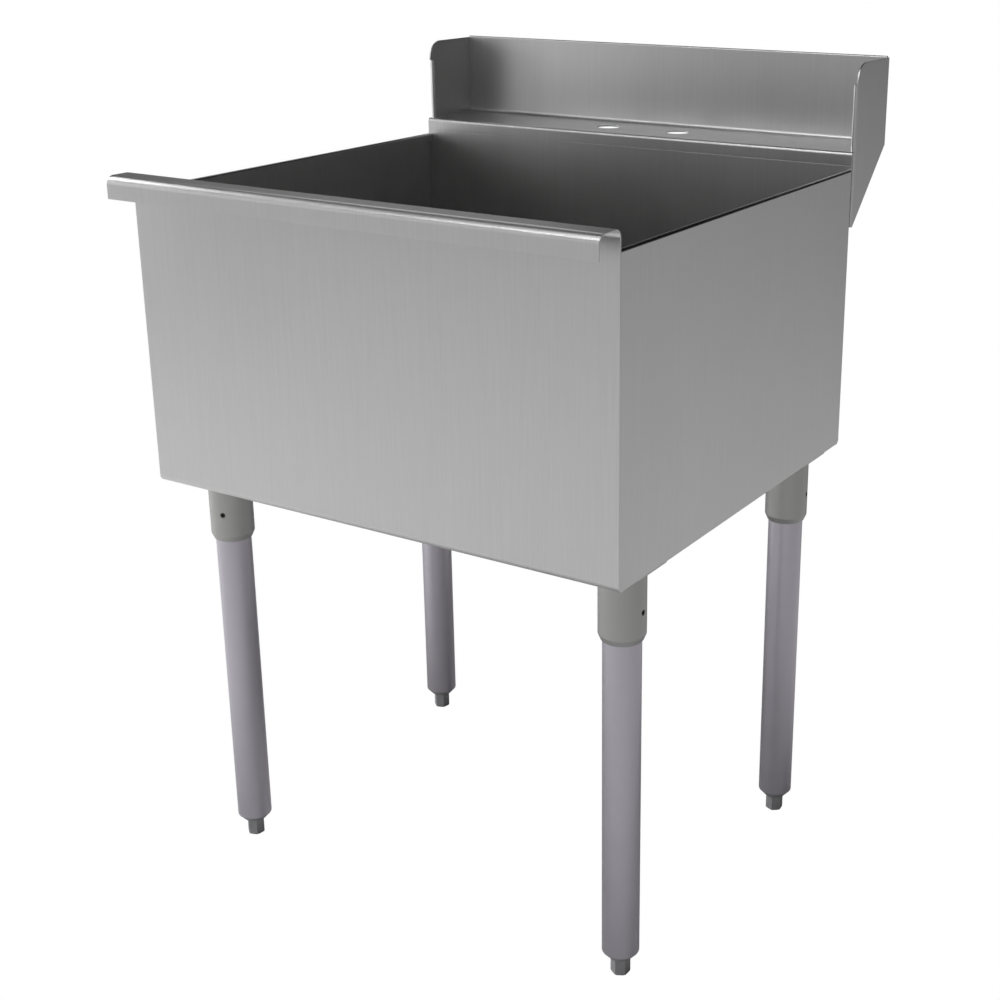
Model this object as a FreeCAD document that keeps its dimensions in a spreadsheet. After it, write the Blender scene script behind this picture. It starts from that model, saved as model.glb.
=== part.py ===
"""Utility sink on four legs: a deep sheet-steel tub with a ledge and back splash.

Millimetres, +Z up, front towards -Y.  The origin is on the floor, under the middle of the
whole sink's box.  Sketches are drawn with y = 0 on the outside of the tub's front wall, and
every piece is then moved back by FRONT_WALL, so that the origin lies in the middle.
"""
import FreeCAD, Part
import os
import re
import Sketcher

SIZES = {
    # Sheet steel.  Every bend below is given by its inside radius.
    "sheet": 1.5,
    "tub_width": 612.0,
    "tub_depth": 529.0,
    "tub_drop": 355.6,  # front rim's top down to the underside of the floor
    "rim_height": 843.0,  # floor of the room up to the front rim and the ledge
    "bottom_bend": 6.5,
    # Front rim: a channel that reaches forward and turns down in a skirt.
    "rim_reach": 36.9,
    "rim_skirt": 24.6,
    "rim_bend": 8.0,
    # Side rims: an open hem rolled inwards, lower than the front rim.
    "side_step": 20.0,
    "hem_gap": 3.0,
    "hem_leg": 10.0,
    "hem_flat": 0.2,  # flat that is left between the two bends of a hem
    # Ledge and back splash, bent from one sheet and welded on top of the tub's back wall.
    "ledge_depth": 98.5,
    "ledge_bend": 2.5,
    "seam_drop": 16.0,
    "splash_rise": 101.6,
    "splash_bend": 5.0,
    "splash_hem_gap": 1.0,
    "faucet_spacing": 101.6,
    "faucet_hole": 28.6,
    "faucet_setback": 49.0,  # splash face to the holes
    # Splash ends: the upright plates that close the splash at both sides.
    "end_gap": 5.5,  # tub's back wall to their front edge
    "end_step": 2.0,  # how far they stop below the splash's top
    "end_corner": 22.0,
    "end_drop": 89.0,  # rim level down to their lowest corner
    "end_rear_drop": 3.0,  # and down to the foot of their rear edge
    "end_hem_stop": 24.0,  # their top down to the end of the front hem
    "notch_gap": 0.3,
    # Legs.
    "leg_side_inset": 37.7,
    "leg_front_inset": 71.0,
    "leg_rear_inset": 64.3,
    "leg_tube": 41.3,
    "leg_wall": 1.5,
    "plate_side": 70.0,
    "plate_thick": 3.0,
    "plate_corner": 8.0,
    "socket_wall": 4.5,
    "socket_length": 80.9,
    "socket_cap": 4.0,
    "socket_fit": 0.15,
    "socket_taper": 7.0,
    "socket_lip": 1.4,
    "screw_size": 6.0,
    "screw_rise": 34.7,  # socket's lower end up to the set screw
    "screw_sunk": 0.6,
    "screw_key": 3.0,
    "screw_key_depth": 2.0,
    "thread_fit": 0.05,
    # Feet: a hexagonal foot on a screw that turns in a plug in the leg's end.
    "foot_height": 21.0,
    "foot_flats": 19.05,
    "foot_edge": 1.0,
    "foot_travel": 25.4,
    "stud_size": 12.0,
    "stud_socket": 8.0,
    "stud_grip": 22.0,
    "collar_height": 8.0,
    "collar_taper": 7.15,  # how much nearer the axis its lower edge lies than the tube's face
    "plug_length": 30.0,
    "plug_fit": 0.05,
    # Drain, with z = 0 on top of the pressed dish that its flange lies in.
    "dish_depth": 3.0,
    "dish_gap": 3.0,  # flat of the dish that the flange leaves free all round
    "dish_slope": 7.0,  # run of its sloping wall
    "flange_reach": 12.0,  # flange beyond the outside of the cup
    "flange_thick": 1.5,
    "cup_width": 82.0,
    "cup_wall": 3.0,
    "cup_depth": 42.0,
    "cup_slope": 5.0,
    "cup_fit": 0.7,
    "seat_width": 48.0,
    "outlet_bore": 35.0,
    "outlet_wall": 3.5,
    "outlet_length": 20.0,
    "gasket_thick": 3.0,
    "friction_thick": 1.2,
    "locknut_wall": 11.0,
    "locknut_height": 9.0,
    "lug_count": 6.0,
    "lug_width": 12.0,
    "lug_reach": 4.0,
    "washer_thick": 3.0,
    "coupling_wall": 6.0,
    "coupling_height": 20.0,
    "coupling_lip": 3.0,
    "coupling_bore": 38.9,
    # Strainer basket that lifts out of the drain.
    "seal_thick": 5.0,
    "seal_edge": 1.0,
    "basket_sheet": 1.0,
    "basket_rim_gap": 0.5,
    "basket_rim_drop": 2.0,
    "basket_rim_width": 3.5,
    "basket_taper": 3.0,
    "basket_hole": 5.0,
    "basket_hole_inset": 5.0,  # edge of its floor to the middle of the holes there
    "basket_ring_count": 16.0,
    "basket_wall_count": 20.0,
    "post_size": 6.0,
    "post_collar": 10.0,
    "knob_size": 18.0,
    "knob_height": 8.0,
    "knob_neck": 28.0,
    "knob_edge": 2.0,
}

# Places along y, from the outside of the front wall.
FRONT_WALL = "(rim_reach - tub_depth - ledge_depth) / 2"
REAR = "(tub_depth + ledge_depth)"
SPLASH_FACE = f"({REAR} - splash_hem_gap - 2 * sheet)"
END_FRONT = "(tub_depth + end_gap)"
# Heights above the room's floor.
UNDERSIDE = "(rim_height - tub_drop)"
TUB_FLOOR = f"({UNDERSIDE} + sheet)"
SIDE_TOP = "(rim_height - side_step)"
SPLASH_TOP = "(rim_height + splash_rise)"
END_TOP = f"({SPLASH_TOP} - end_step)"
SOCKET_TOP = f"({UNDERSIDE} - plate_thick)"
HALF_WIDTH = "(tub_width / 2)"

# The four legs: place across, place along, and the way that the socket's set screw faces,
# in degrees from the front, counted towards the right.
LEG_RADIUS = "(leg_tube / 2)"
LEFT_LEG = f"(leg_side_inset - {HALF_WIDTH})"
RIGHT_LEG = f"({HALF_WIDTH} - leg_side_inset)"
FRONT_LEG = f"({FRONT_WALL} + leg_front_inset)"
REAR_LEG = f"({FRONT_WALL} + tub_depth - leg_rear_inset)"
LEGS = {
    "front_left": (LEFT_LEG, FRONT_LEG, 20),
    "front_right": (RIGHT_LEG, FRONT_LEG, 88),
    "rear_left": (LEFT_LEG, REAR_LEG, 200),
    "rear_right": (RIGHT_LEG, REAR_LEG, 98),
}
SIDES = {"left": -1, "right": 1}

# Radii about the drain's axis: the cup, its outside, the flange and the dish it lies in.
CUP = "(cup_width / 2)"
NECK = f"({CUP} + cup_wall)"
FLANGE = f"({NECK} + flange_reach)"
DISH_FLAT = f"({FLANGE} + dish_gap)"
DISH = f"({DISH_FLAT} + dish_slope)"
DRAIN_HOLE = f"({NECK} + cup_fit)"

doc =FreeCAD.newDocument("utility_sink")
sheet = doc.addObject("Spreadsheet::Sheet", "Sizes")
for row, (alias, size) in enumerate(SIZES.items(), 1):
    sheet.set(f"A{row}", alias)
    sheet.set(f"B{row}", str(size))
    sheet.setAlias(f"B{row}", alias)
doc.recompute()

nodes = {}
cuts = []


# ---------------------------------------------------------------- drawing helpers

def bound(text):
    """The expression with each size's alias turned into its cell of the sheet."""
    return re.sub(r"[a-z_]+", lambda word: f"Sizes.{word[0]}" if word[0] in SIZES else word[0], text)


def number(text):
    return float(sheet.evalExpression(bound(text)))


def tie(thing, **expressions):
    for field, text in expressions.items():
        thing.setExpression(field.replace("__", "."), bound(text))


def make_node(name, thing):
    thing.Label = name
    nodes[name] = thing
    return thing


def new_body(name, across="0", along=FRONT_WALL, up="0", turn=0):
    """A body whose sketches are drawn about its own origin, which lies at the place given."""
    body = doc.addObject("PartDesign::Body", name)
    body.Placement.Rotation = FreeCAD.Rotation(FreeCAD.Vector(0, 0, 1), turn)
    tie(body, Placement__Base__x=across, Placement__Base__y=along, Placement__Base__z=up)
    return body


def new_sketch(body, plane, lift="0", shift="0"):
    """A sketch on one of the body's own origin planes, lifted along that plane's normal."""
    sketch = body.newObject("Sketcher::SketchObject", "Sketch")
    origin_plane = next(one for one in body.Origin.OriginFeatures if one.Role == plane)
    sketch.AttachmentSupport = [(origin_plane, "")]
    sketch.MapMode = "FlatFace"
    tie(sketch, AttachmentOffset__Base__z=lift, AttachmentOffset__Base__x=shift)
    return sketch


def add_size(sketch, kind, references, text):
    constraint = sketch.addConstraint(Sketcher.Constraint(kind, *references, number(text)))
    sketch.setExpression(f"Constraints[{constraint}]", bound(text))


def place_point(sketch, geometry, which, across, up):
    add_size(sketch, "DistanceX", (-1, 1, geometry, which), across)
    add_size(sketch, "DistanceY", (-1, 1, geometry, which), up)


def outline(sketch, corners):
    """A closed outline through its corners: (across, up), or (across, up, radius) for a round one."""
    count = len(corners)
    spots = [FreeCAD.Vector(number(corner[0]), number(corner[1]), 0) for corner in corners]
    rounds = []
    for index, corner in enumerate(corners):
        back = (spots[index - 1] - spots[index]).normalize()
        ahead = (spots[(index + 1) % count] - spots[index]).normalize()
        if len(corner) == 2:
            rounds.append(None)
            continue
        radius = number(corner[2])
        half_way = (back + ahead).normalize()
        sine = back.cross(half_way).Length
        reach = radius * back.dot(half_way) / sine
        rounds.append({
            "radius": radius,
            "start": spots[index] + back * reach,
            "end": spots[index] + ahead * reach,
            "centre": spots[index] + half_way * (radius / sine),
            "left_turn": back.cross(ahead).z < 0,
        })
    lines = []
    for index in range(count):
        after = (index + 1) % count
        start = rounds[index]["end"] if rounds[index] else spots[index]
        end = rounds[after]["start"] if rounds[after] else spots[after]
        lines.append(sketch.addGeometry(Part.LineSegment(start, end), False))
    for index, corner in enumerate(corners):
        before, line = lines[index - 1], lines[index]
        bend = rounds[index]
        if bend is None:
            sketch.addConstraint(Sketcher.Constraint("Coincident", before, 2, line, 1))
            place_point(sketch, line, 1, corner[0], corner[1])
            continue
        first, last = bend["start"], bend["end"]
        if not bend["left_turn"]:
            first, last = last, first
        spread = [(spot - bend["centre"]) for spot in (first, last)]
        angles = [FreeCAD.Vector(1, 0, 0).getAngle(arm) * (1 if arm.y >= 0 else -1) for arm in spread]
        circle = Part.Circle(bend["centre"], FreeCAD.Vector(0, 0, 1), bend["radius"])
        arc = sketch.addGeometry(Part.ArcOfCircle(circle, angles[0], angles[1]), False)
        point = sketch.addGeometry(Part.Point(spots[index]), True)
        place_point(sketch, point, 1, corner[0], corner[1])
        sketch.addConstraint(Sketcher.Constraint("PointOnObject", point, 1, before))
        sketch.addConstraint(Sketcher.Constraint("PointOnObject", point, 1, line))
        into, out_of = (1, 2) if bend["left_turn"] else (2, 1)
        sketch.addConstraint(Sketcher.Constraint("Tangent", before, 2, arc, into))
        sketch.addConstraint(Sketcher.Constraint("Tangent", arc, out_of, line, 1))
        add_size(sketch, "Radius", (arc,), corner[2])


def circle(sketch, radius, across="0", up="0"):
    centre = FreeCAD.Vector(number(across), number(up), 0)
    ring = Part.Circle(centre, FreeCAD.Vector(0, 0, 1), number(radius))
    geometry = sketch.addGeometry(ring, False)
    place_point(sketch, geometry, 3, across, up)
    add_size(sketch, "Radius", (geometry,), radius)


def hexagon(sketch, flats):
    """A hexagon about the sketch's origin, with two corners on the horizontal axis."""
    corner = f"{flats} / 2 / cos(30)"
    outline(sketch, [(f"{corner} * cos({turn})", f"{corner} * sin({turn})") for turn in range(0, 360, 60)])


def pad(body, sketch, length, reverse=False, symmetric=False):
    feature = body.newObject("PartDesign::Pad", "Pad")
    feature.Profile = sketch
    feature.SideType = "Symmetric" if symmetric else "One side"
    feature.Reversed = reverse
    tie(feature, Length=length)
    return feature


def pocket(body, sketch, length=None, reverse=False):
    """A cut against the sketch's normal, or along it if reversed; right through without a length."""
    feature = body.newObject("PartDesign::Pocket", "Pocket")
    feature.Profile = sketch
    feature.Reversed = reverse
    if length is None:
        feature.Type = "ThroughAll"
    else:
        tie(feature, Length=length)
    cuts.append(feature)
    return feature


def revolve(body, corners, kind="Revolution"):
    """A round piece: the outline of one half, as (radius, height), turned about the body's z axis."""
    sketch = new_sketch(body, "XZ_Plane")
    outline(sketch, corners)
    feature = body.newObject(f"PartDesign::{kind}", kind)
    feature.Profile = sketch
    feature.ReferenceAxis = (sketch, ["V_Axis"])
    feature.Angle = 360
    if kind == "Groove":
        cuts.append(feature)
    return feature


def repeat_round(body, feature, count):
    """Copies of a feature about the body's z axis."""
    axis = next(one for one in body.Origin.OriginFeatures if one.Role == "Z_Axis")
    pattern = body.newObject("PartDesign::PolarPattern", "PolarPattern")
    pattern.Originals = [feature]
    pattern.Axis = (axis, [""])
    pattern.Angle = 360
    tie(pattern, Occurrences=count)
    body.Tip = pattern
    return pattern


# ---------------------------------------------------------------- tub

def tub_wrap():
    """Front rim, front wall, floor and back wall: one sheet bent along the sink's width."""
    body = make_node("tub_wrap", new_body("tub_wrap"))
    rim_under = "(rim_height - sheet)"
    skirt_foot = "(rim_height - rim_skirt)"
    seam = "(rim_height - seam_drop)"
    profile = new_sketch(body, "YZ_Plane")
    outline(profile, [
        ("-rim_reach", skirt_foot),
        ("-rim_reach", "rim_height", "rim_bend + sheet"),
        ("sheet", "rim_height", "rim_bend + sheet"),
        ("sheet", TUB_FLOOR, "bottom_bend"),
        ("tub_depth - sheet", TUB_FLOOR, "bottom_bend"),
        ("tub_depth - sheet", seam),
        ("tub_depth", seam),
        ("tub_depth", UNDERSIDE, "bottom_bend + sheet"),
        ("0", UNDERSIDE, "bottom_bend + sheet"),
        ("0", rim_under, "rim_bend"),
        ("sheet - rim_reach", rim_under, "rim_bend"),
        ("sheet - rim_reach", skirt_foot),
    ])
    pad(body, profile, "tub_width", symmetric=True)

    # The drain's place: a pressed dish with the drain hole in its flat bottom.
    opening = new_sketch(body, "XY_Plane")
    circle(opening, DISH, up="tub_depth / 2")
    pocket(body, opening, reverse=True)
    dish = new_sketch(body, "YZ_Plane", shift="tub_depth / 2")
    outline(dish, [
        (DISH, TUB_FLOOR),
        (DISH, UNDERSIDE),
        (DISH_FLAT, f"{UNDERSIDE} - dish_depth"),
        (DRAIN_HOLE, f"{UNDERSIDE} - dish_depth"),
        (DRAIN_HOLE, f"{TUB_FLOOR} - dish_depth"),
        (DISH_FLAT, f"{TUB_FLOOR} - dish_depth"),
    ])
    pressed = body.newObject("PartDesign::Revolution", "Dish")
    pressed.Profile = dish
    pressed.ReferenceAxis = (dish, ["V_Axis"])
    pressed.Angle = 360


def hem(body, plane, edge, out, gap, tip, length, lift, side=1, upright=False, reverse=False):
    """An open hem: the sheet's edge rolled over through half a turn, with a short free leg.

    edge is the outside face of the sheet, out the rolled edge, and tip the free leg's length.
    """
    def spot(depth, along):
        across = f"{side} * ({edge} - ({depth}))"
        up = f"{out} + ({along})" if upright else f"{out} - ({along})"
        return across, up

    width = f"{gap} + 2 * sheet"
    inner = f"({gap} - hem_flat) / 2"
    outer = f"{inner} + sheet"
    start = f"{gap} / 2 + sheet"
    sketch = new_sketch(body, plane, lift)
    outline(sketch, [
        spot("0", start),
        (*spot("0", "0"), outer),
        (*spot(width, "0"), outer),
        spot(width, tip),
        spot(f"{width} - sheet", tip),
        (*spot(f"{width} - sheet", "sheet"), inner),
        (*spot("sheet", "sheet"), inner),
        spot("sheet", start),
    ])
    return pad(body, sketch, length, reverse=reverse)


def side_panel(name, side):
    """A side wall, set between the front and back walls, with its top edge hemmed inwards."""
    body = make_node(f"side_panel_{name}", new_body(f"side_panel_{name}"))
    hem_start = f"{SIDE_TOP} - hem_gap / 2 - sheet"
    inside = f"{side} * {HALF_WIDTH} - {(side + 1) // 2} * sheet"
    plate = new_sketch(body, "YZ_Plane", lift=inside)
    outline(plate, [
        ("sheet", hem_start),
        ("sheet", TUB_FLOOR, "bottom_bend"),
        ("tub_depth - sheet", TUB_FLOOR, "bottom_bend"),
        ("tub_depth - sheet", hem_start),
    ])
    pad(body, plate, "sheet")
    hem(body, "XZ_Plane", HALF_WIDTH, SIDE_TOP, "hem_gap", "hem_leg",
        "tub_depth - 2 * sheet", "-sheet", side=side, reverse=True)


# ---------------------------------------------------------------- ledge and splash

def splash_sheet():
    """Ledge and back splash: one sheet, notched at its ends for the splash ends' front hems."""
    body = make_node("splash_sheet", new_body("splash_sheet"))
    seam = "rim_height - seam_drop"
    fold = "(splash_hem_gap - hem_flat) / 2"
    profile = new_sketch(body, "YZ_Plane")
    outline(profile, [
        ("tub_depth - sheet", seam),
        ("tub_depth - sheet", "rim_height", "ledge_bend + sheet"),
        (SPLASH_FACE, "rim_height", "splash_bend"),
        (SPLASH_FACE, SPLASH_TOP, f"{fold} + sheet"),
        (REAR, SPLASH_TOP, f"{fold} + sheet"),
        (REAR, f"{SPLASH_TOP} - hem_leg"),
        (f"{REAR} - sheet", f"{SPLASH_TOP} - hem_leg"),
        (f"{REAR} - sheet", f"{SPLASH_TOP} - sheet", fold),
        (f"{SPLASH_FACE} + sheet", f"{SPLASH_TOP} - sheet", fold),
        (f"{SPLASH_FACE} + sheet", "rim_height - sheet", "splash_bend + sheet"),
        ("tub_depth", "rim_height - sheet", "ledge_bend"),
        ("tub_depth", seam),
    ])
    pad(body, profile, "tub_width", symmetric=True)

    notch_side = f"({HALF_WIDTH} - hem_gap - 2 * sheet - notch_gap)"
    notch_front = f"{END_FRONT} - notch_gap"
    notch_rear = f"{END_FRONT} + hem_leg + notch_gap"
    beyond = f"({HALF_WIDTH} + sheet)"
    notches = new_sketch(body, "XY_Plane")
    for side in SIDES.values():
        outline(notches, [
            (f"{side} * {notch_side}", notch_front),
            (f"{side} * {beyond}", notch_front),
            (f"{side} * {beyond}", f"{REAR} + sheet"),
            (f"{side} * ({HALF_WIDTH} - sheet)", f"{REAR} + sheet"),
            (f"{side} * ({HALF_WIDTH} - sheet)", notch_rear),
            (f"{side} * {notch_side}", notch_rear),
        ])
    pocket(body, notches, reverse=True)

    holes = new_sketch(body, "XY_Plane")
    for side in SIDES.values():
        circle(holes, "faucet_hole / 2", f"{side} * faucet_spacing / 2", f"{SPLASH_FACE} - faucet_setback")
    pocket(body, holes, reverse=True)


def splash_end(name, side):
    """A plate that closes the splash at one side, down to a slanted foot behind the tub."""
    body = make_node(f"splash_end_{name}", new_body(f"splash_end_{name}"))
    hem_start = f"{END_FRONT} + hem_gap / 2 + sheet"
    hem_top = f"{END_TOP} - end_hem_stop"
    hem_foot = "rim_height - end_drop"
    inside = f"{side} * {HALF_WIDTH} - {(side + 1) // 2} * sheet"
    plate = new_sketch(body, "YZ_Plane", lift=inside)
    outline(plate, [
        (hem_start, hem_foot),
        (hem_start, hem_top),
        (END_FRONT, hem_top),
        (END_FRONT, END_TOP, "end_corner"),
        (REAR, END_TOP),
        (REAR, "rim_height - end_rear_drop"),
    ])
    pad(body, plate, "sheet")
    hem(body, "XY_Plane", HALF_WIDTH, END_FRONT, "hem_gap", "hem_leg",
        f"{hem_top} - ({hem_foot})", hem_foot, side=side, upright=True)


# ---------------------------------------------------------------- legs

def leg(name, across, along, turn):
    """Everything at one corner, from the plate under the tub down to the foot."""
    bore = f"({LEG_RADIUS} + socket_fit)"
    socket_face = f"({bore} + socket_wall)"
    socket_foot = f"({SOCKET_TOP} - socket_length)"
    tube_foot = "(foot_height + collar_height)"

    body = make_node(f"socket_plate_{name}", new_body(f"socket_plate_{name}", across, along))
    square = new_sketch(body, "XY_Plane", lift=SOCKET_TOP)
    half = "plate_side / 2"
    outline(square, [
        (half, half, "plate_corner"),
        (f"-{half}", half, "plate_corner"),
        (f"-{half}", f"-{half}", "plate_corner"),
        (half, f"-{half}", "plate_corner"),
    ])
    pad(body, square, "plate_thick")

    body = make_node(f"leg_socket_{name}", new_body(f"leg_socket_{name}", across, along, turn=turn))
    revolve(body, [
        ("0", SOCKET_TOP),
        (socket_face, SOCKET_TOP),
        (socket_face, f"{socket_foot} + socket_taper"),
        (f"{bore} + socket_lip", socket_foot),
        (bore, socket_foot),
        (bore, f"{SOCKET_TOP} - socket_cap"),
        ("0", f"{SOCKET_TOP} - socket_cap"),
    ])
    screw_hole = new_sketch(body, "XZ_Plane")
    circle(screw_hole, "screw_size / 2 + thread_fit", up=f"{socket_foot} + screw_rise")
    pocket(body, screw_hole, reverse=True)

    body = make_node(f"leg_tube_{name}", new_body(f"leg_tube_{name}", across, along))
    ring = new_sketch(body, "XY_Plane", lift=tube_foot)
    circle(ring, LEG_RADIUS)
    circle(ring, f"{LEG_RADIUS} - leg_wall")
    pad(body, ring, f"{SOCKET_TOP} - socket_cap - {tube_foot}")

    stud_hole = "(stud_size / 2 + thread_fit)"
    plug_radius = f"({LEG_RADIUS} - leg_wall - plug_fit)"
    body = make_node(f"leg_plug_{name}", new_body(f"leg_plug_{name}", across, along))
    revolve(body, [
        (stud_hole, "foot_height"),
        (f"{LEG_RADIUS} - collar_taper", "foot_height"),
        (LEG_RADIUS, tube_foot),
        (plug_radius, tube_foot),
        (plug_radius, f"{tube_foot} + plug_length"),
        (stud_hole, f"{tube_foot} + plug_length"),
    ])

    body = make_node(f"foot_{name}", new_body(f"foot_{name}", across, along, turn=turn))
    hexagonal = new_sketch(body, "XY_Plane")
    hexagon(hexagonal, "foot_flats")
    pad(body, hexagonal, "foot_height")
    foot_corner = "(foot_flats / 2 / cos(30))"
    revolve(body, [
        (f"{foot_corner} - foot_edge", "-foot_edge"),
        (f"{foot_corner} - foot_edge", "0"),
        (f"{foot_corner} + foot_edge", "2 * foot_edge"),
        (f"{foot_corner} + foot_edge", "-foot_edge"),
    ], kind="Groove")
    blind = new_sketch(body, "XY_Plane", lift="foot_height")
    circle(blind, stud_hole)
    pocket(body, blind, "stud_socket")

    body = make_node(f"foot_stud_{name}", new_body(f"foot_stud_{name}", across, along))
    rod = new_sketch(body, "XY_Plane", lift="foot_height - stud_socket")
    circle(rod, "stud_size / 2")
    pad(body, rod, "stud_socket + foot_travel + stud_grip")

    # The set screw stands against the tube and its head is sunk below the socket's face.
    head = f"{socket_face} - screw_sunk"
    screw = new_body(f"set_screw_{name}", across, along, f"{socket_foot} + screw_rise", turn)
    shank = new_sketch(screw, "XZ_Plane", lift=LEG_RADIUS)
    circle(shank, "screw_size / 2")
    pad(screw, shank, f"{head} - {LEG_RADIUS}")
    key = new_sketch(screw, "XZ_Plane", lift=head)
    hexagon(key, "screw_key")
    pocket(screw, key, "screw_key_depth")
    return screw


# ---------------------------------------------------------------- drain

def drain_piece(name):
    """A piece of the drain, drawn about the drain's own axis, from the top of the dish."""
    height = f"{TUB_FLOOR} - dish_depth"
    return make_node(name, new_body(name, along=f"{FRONT_WALL} + tub_depth / 2", up=height))


def washer_ring(name, inner, outer, top, thick):
    revolve(drain_piece(name), [
        (inner, top),
        (outer, top),
        (outer, f"{top} - {thick}"),
        (inner, f"{top} - {thick}"),
    ])


def drain():
    """The drain's fixed pieces, from the flange in the dish down to the coupling nut."""
    outlet = "(outlet_bore / 2)"
    outlet_outside = f"({outlet} + outlet_wall)"
    outlet_foot = "(-cup_depth - outlet_length)"
    revolve(drain_piece("drain_body"), [
        (FLANGE, "0"),
        (FLANGE, "flange_thick / 2"),
        (f"{FLANGE} - flange_thick", "flange_thick"),
        (CUP, "flange_thick"),
        (CUP, "cup_slope - cup_depth"),
        ("seat_width / 2", "-cup_depth"),
        (outlet, "-cup_depth"),
        (outlet, outlet_foot),
        (outlet_outside, outlet_foot),
        (outlet_outside, "-cup_depth - cup_wall"),
        (NECK, "cup_slope - cup_depth - cup_wall"),
        (NECK, "0"),
    ])

    gasket_top = "-sheet"
    friction_top = f"({gasket_top} - gasket_thick)"
    locknut_top = f"({friction_top} - friction_thick)"
    washer_ring("drain_gasket", DRAIN_HOLE, FLANGE, gasket_top, "gasket_thick")
    washer_ring("friction_ring", DRAIN_HOLE, FLANGE, friction_top, "friction_thick")

    nut = drain_piece("drain_locknut")
    nut_face = f"({NECK} + locknut_wall)"
    ring = new_sketch(nut, "XY_Plane", lift=f"{locknut_top} - locknut_height")
    circle(ring, nut_face)
    circle(ring, f"{NECK} + thread_fit")
    pad(nut, ring, "locknut_height")
    lug = new_sketch(nut, "XY_Plane", lift=f"{locknut_top} - locknut_height")
    outline(lug, [
        (f"{NECK} + cup_wall", "lug_width / 2"),
        (f"{NECK} + cup_wall", "-lug_width / 2"),
        (f"{nut_face} + lug_reach", "-lug_width / 2"),
        (f"{nut_face} + lug_reach", "lug_width / 2"),
    ])
    repeat_round(nut, pad(nut, lug, "locknut_height"), "lug_count")

    washer_ring("slip_washer", outlet, outlet_outside, outlet_foot, "washer_thick")
    coupling_foot = f"({outlet_foot} - washer_thick - coupling_lip)"
    coupling = drain_piece("coupling_nut")
    hexagonal = new_sketch(coupling, "XY_Plane", lift=coupling_foot)
    hexagon(hexagonal, f"2 * ({outlet_outside} + coupling_wall)")
    pad(coupling, hexagonal, "coupling_height")
    revolve(coupling, [
        ("0", f"{coupling_foot} - coupling_lip"),
        ("coupling_bore / 2", f"{coupling_foot} - coupling_lip"),
        ("coupling_bore / 2", f"{coupling_foot} + coupling_lip"),
        (f"{outlet_outside} + thread_fit", f"{coupling_foot} + coupling_lip"),
        (f"{outlet_outside} + thread_fit", f"{coupling_foot} + coupling_height + coupling_lip"),
        ("0", f"{coupling_foot} + coupling_height + coupling_lip"),
    ], kind="Groove")


def strainer():
    """The basket, its rubber stopper and its post: they lift out of the drain together."""
    basket_floor = "(seal_thick - cup_depth)"
    rim_radius = f"({CUP} - basket_rim_gap)"
    wall_top = f"({rim_radius} - basket_rim_width)"
    wall_foot = f"({wall_top} - basket_taper)"
    rim_top = "(-basket_rim_drop)"
    post_hole = "(post_size / 2 + thread_fit)"

    basket = drain_piece("strainer_basket")
    revolve(basket, [
        (post_hole, basket_floor),
        (wall_foot, basket_floor),
        (wall_top, f"{rim_top} - basket_sheet"),
        (rim_radius, f"{rim_top} - basket_sheet"),
        (rim_radius, rim_top),
        (f"{wall_top} - basket_sheet", rim_top),
        (f"{wall_foot} - basket_sheet", f"{basket_floor} + basket_sheet"),
        (post_hole, f"{basket_floor} + basket_sheet"),
    ])
    floor_hole = new_sketch(basket, "XY_Plane")
    circle(floor_hole, "basket_hole / 2", across=f"{wall_foot} - basket_hole_inset")
    floor_cut = pocket(basket, floor_hole)
    repeat_round(basket, floor_cut, "basket_ring_count")
    wall_hole = new_sketch(basket, "XZ_Plane")
    circle(wall_hole, "basket_hole / 2", up=f"({basket_floor} + {rim_top}) / 2")
    wall_cut = pocket(basket, wall_hole, reverse=True)
    repeat_round(basket, wall_cut, "basket_wall_count")

    washer_ring("strainer_seal", post_hole, "seat_width / 2 - seal_edge", basket_floor, "seal_thick")

    collar_foot = f"({basket_floor} + basket_sheet)"
    knob_foot = f"({collar_foot} + knob_neck)"
    revolve(drain_piece("strainer_post"), [
        ("0", "-cup_depth"),
        ("post_size / 2", "-cup_depth"),
        ("post_size / 2", collar_foot),
        ("post_collar / 2", collar_foot),
        ("post_size / 2", knob_foot),
        ("knob_size / 2", knob_foot, "knob_edge"),
        ("knob_size / 2", f"{knob_foot} + knob_height", "knob_edge"),
        ("0", f"{knob_foot} + knob_height"),
    ])


tub_wrap()
for side_name, side_sign in SIDES.items():
    side_panel(side_name, side_sign)
splash_sheet()
for side_name, side_sign in SIDES.items():
    splash_end(side_name, side_sign)
set_screws = make_node("set_screws", doc.addObject("Part::Compound", "set_screws"))
set_screws.Links = [leg(corner, *place) for corner, place in LEGS.items()]
drain()
strainer()
doc.recompute()

for thing in doc.Objects:
    if {"Invalid", "Error"} & set(thing.State):
        raise RuntimeError(f"{thing.Label} failed: {thing.State}")
for cut in cuts:
    if cut.Shape.Volume >= cut.BaseFeature.Shape.Volume - 1e-6:
        raise RuntimeError(f"{cut.Label} removes nothing")
for name, thing in nodes.items():
    if thing.Shape.isNull() or not thing.Shape.isValid():
        raise RuntimeError(f"{name} has no valid shape")

os.makedirs("parts", exist_ok=True)
for name, thing in nodes.items():
    thing.Shape.exportStep(f"parts/{name}.step")
box = Part.makeCompound([thing.Shape for thing in nodes.values()]).BoundBox
print(f"{len(nodes)} nodes, {box.XLength:.1f} x {box.YLength:.1f} x {box.ZLength:.1f} mm")
print(f"x {box.XMin:.2f} to {box.XMax:.2f}, y {box.YMin:.2f} to {box.YMax:.2f}, z {box.ZMin:.2f} up")
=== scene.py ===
import math

import bmesh
import bpy
from mathutils import Matrix, Vector


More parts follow.
